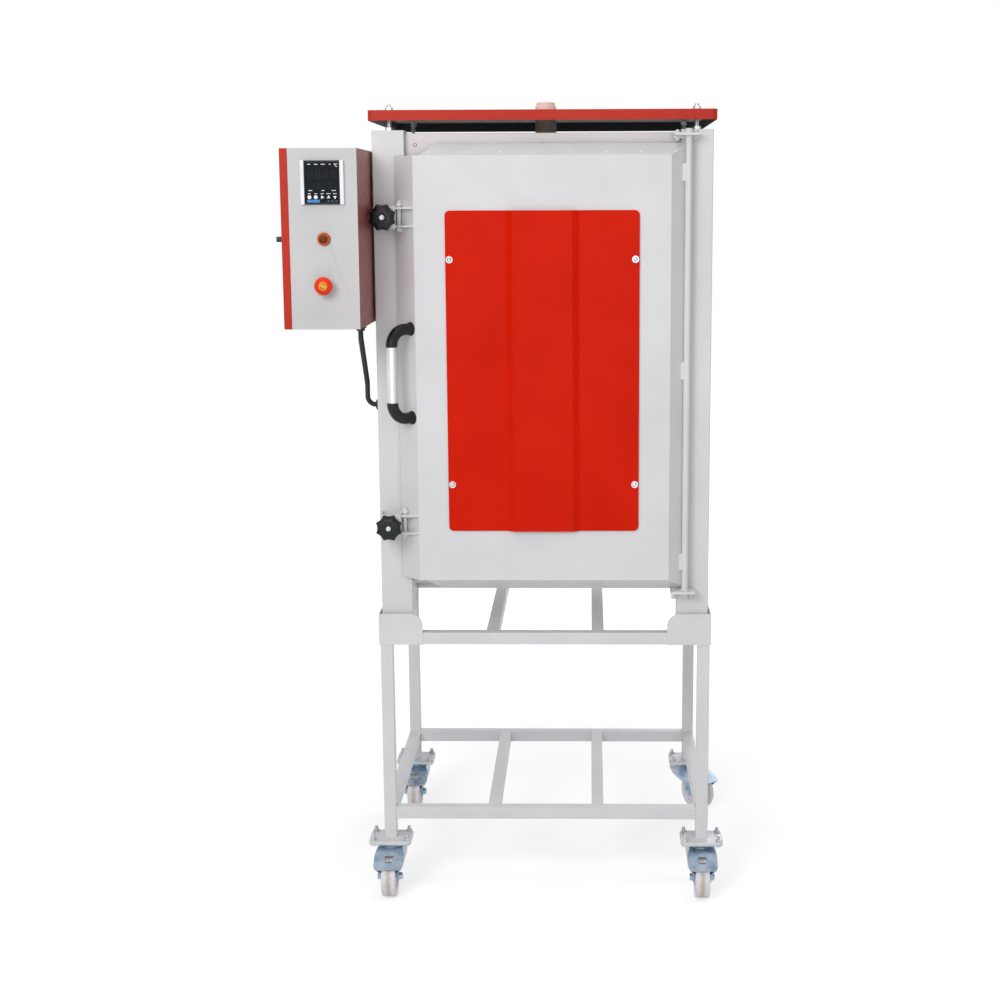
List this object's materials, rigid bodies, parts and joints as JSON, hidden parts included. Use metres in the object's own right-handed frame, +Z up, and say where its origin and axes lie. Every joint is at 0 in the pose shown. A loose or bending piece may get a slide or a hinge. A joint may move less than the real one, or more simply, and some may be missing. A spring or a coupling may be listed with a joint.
{
  "type": "front-loading ceramic kiln",
  "caption": "Front-loading electric kiln on an open castor stand, with a hinged door held by star-knob screw clamps, a side control box and a red roof sheet with a flue.",
  "frame": {"origin": "middle of the outline on the floor, under the kiln", "axes": "+Z up, +Y from the door towards the back, +X to the right seen from the front"},
  "size_m": [1.0886, 0.9278, 1.9583],
  "materials": {
    "light_paint": "fine textured powder coat",
    "red_paint": "smooth powder coat",
    "stainless": "brushed",
    "zinc": "blue-tinted zinc plate",
    "grip_metal": "satin",
    "nylon": "matt",
    "firebrick": "rough, porous",
    "fibre_board": "soft fibre",
    "kiln_ceramic": "fine, matt",
    "coil_wire": "oxidised",
    "black_plastic": "glossy",
    "red_plastic": "glossy",
    "amber_lens": "translucent"
  },
  "bodies": {
    "kiln": {"stand_legs": "light_paint", "stand_cross_rails": "light_paint", "stand_long_rails": "light_paint", "corner_pockets": "light_paint", "foot_plates": "light_paint", "corner_posts": "light_paint", "casing_sides": "light_paint", "casing_back": "light_paint", "casing_ends": "light_paint", "rear_cover": "light_paint", "hinge_plates": "light_paint", "box_shell": "light_paint", "side_covers": "red_paint", "roof_sheet": "red_paint", "box_side_cover": "red_paint", "front_collar": "stainless", "cover_screws": "stainless", "roof_studs": "stainless", "castor_plates": "zinc", "clamp_bushes": "zinc", "brick_floor": "firebrick", "brick_sides": "firebrick", "brick_back": "firebrick", "brick_roof": "firebrick", "backing_boards": "fibre_board", "coil_bushes": "kiln_ceramic", "thermocouple": "kiln_ceramic", "flue_tube": "kiln_ceramic", "heating_coils": "coil_wire", "controller": "black_plastic", "panel_collars": "black_plastic", "switch_plate": "black_plastic", "conduit": "black_plastic", "lamp_lens": "amber_lens"},
    "castor_0": {"castor_fork_0": "zinc"},
    "wheel_0": {"castor_wheel_0": "nylon"},
    "castor_1": {"castor_fork_1": "zinc"},
    "wheel_1": {"castor_wheel_1": "nylon"},
    "castor_2": {"castor_fork_2": "zinc"},
    "wheel_2": {"castor_wheel_2": "nylon"},
    "castor_3": {"castor_fork_3": "zinc"},
    "wheel_3": {"castor_wheel_3": "nylon"},
    "door": {"door_skin": "light_paint", "door_back": "stainless", "door_bricks": "firebrick", "door_seal": "fibre_board", "door_panel": "red_paint", "panel_screws": "stainless", "hinge_rod": "light_paint", "clamp_brackets": "light_paint", "handle_grip": "grip_metal", "handle_ends": "black_plastic"},
    "upper_knob": {"upper_knob": "black_plastic"},
    "upper_bolt": {"upper_bolt": "zinc"},
    "lower_knob": {"lower_knob": "black_plastic"},
    "lower_bolt": {"lower_bolt": "zinc"},
    "stopper": {"flue_stopper": "kiln_ceramic"},
    "stop_stem": {"stop_stem": "stainless"},
    "stop_head": {"stop_head": "red_plastic"},
    "switch_knob": {"switch_knob": "black_plastic"}
  },
  "joints": [
    {"name": "castor_swivel_0", "type": "hinge", "parent": "kiln", "child": "castor_0", "pos_m": [-0.32135, -0.19591, 0.132], "axis": [0, 0, 1], "continuous": true},
    {"name": "wheel_spin_0", "type": "hinge", "parent": "castor_0", "child": "wheel_0", "pos_m": [-0.32135, -0.24091, 0.05], "axis": [1, 0, 0], "continuous": true},
    {"name": "castor_swivel_1", "type": "hinge", "parent": "kiln", "child": "castor_1", "pos_m": [0.45865, -0.19591, 0.132], "axis": [0, 0, 1], "continuous": true},
    {"name": "wheel_spin_1", "type": "hinge", "parent": "castor_1", "child": "wheel_1", "pos_m": [0.45865, -0.24091, 0.05], "axis": [1, 0, 0], "continuous": true},
    {"name": "castor_swivel_2", "type": "hinge", "parent": "kiln", "child": "castor_2", "pos_m": [-0.32135, 0.41409, 0.132], "axis": [0, 0, 1], "continuous": true},
    {"name": "wheel_spin_2", "type": "hinge", "parent": "castor_2", "child": "wheel_2", "pos_m": [-0.32135, 0.36909, 0.05], "axis": [1, 0, 0], "continuous": true},
    {"name": "castor_swivel_3", "type": "hinge", "parent": "kiln", "child": "castor_3", "pos_m": [0.45865, 0.41409, 0.132], "axis": [0, 0, 1], "continuous": true},
    {"name": "wheel_spin_3", "type": "hinge", "parent": "castor_3", "child": "wheel_3", "pos_m": [0.48758, 0.37961, 0.05], "axis": [0.766, 0.6428, 0], "continuous": true},
    {"name": "door_hinge", "type": "hinge", "parent": "kiln", "child": "door", "pos_m": [0.40965, -0.22591, 0.812], "axis": [0, 0, 1], "range_deg": [0, 135]},
    {"name": "upper_knob_turn", "type": "hinge", "parent": "door", "child": "upper_knob", "pos_m": [-0.29935, -0.30521, 1.677], "axis": [0, -1, 0], "range_deg": [0, 2160]},
    {"name": "upper_bolt_slide", "type": "slide", "parent": "door", "child": "upper_bolt", "axis": [0, -1, 0], "range_m": [0, 0.012]},
    {"name": "lower_knob_turn", "type": "hinge", "parent": "door", "child": "lower_knob", "pos_m": [-0.29935, -0.30521, 0.948], "axis": [0, -1, 0], "range_deg": [0, 2160]},
    {"name": "lower_bolt_slide", "type": "slide", "parent": "door", "child": "lower_bolt", "axis": [0, -1, 0], "range_m": [0, 0.012]},
    {"name": "stopper_lift", "type": "slide", "parent": "kiln", "child": "stopper", "axis": [0, 0, 1], "range_m": [0, 0.08]},
    {"name": "stop_press", "type": "slide", "parent": "kiln", "child": "stop_stem", "axis": [0, 1, 0], "range_m": [0, 0.004], "stiffness_N_per_m": 800},
    {"name": "stop_release_twist", "type": "hinge", "parent": "stop_stem", "child": "stop_head", "pos_m": [-0.41335, -0.42891, 1.528], "axis": [0, 1, 0], "range_deg": [0, 30], "stiffness_Nm_per_rad": 0.05},
    {"name": "main_switch", "type": "hinge", "parent": "kiln", "child": "switch_knob", "pos_m": [-0.50835, -0.28091, 1.628], "axis": [-1, 0, 0], "range_deg": [0, 90]}
  ],
  "couplings": [
    {"joint": "upper_bolt_slide", "follows": "upper_knob_turn", "m_per_rad": 0.000318},
    {"joint": "lower_bolt_slide", "follows": "lower_knob_turn", "m_per_rad": 0.000318}
  ]
}
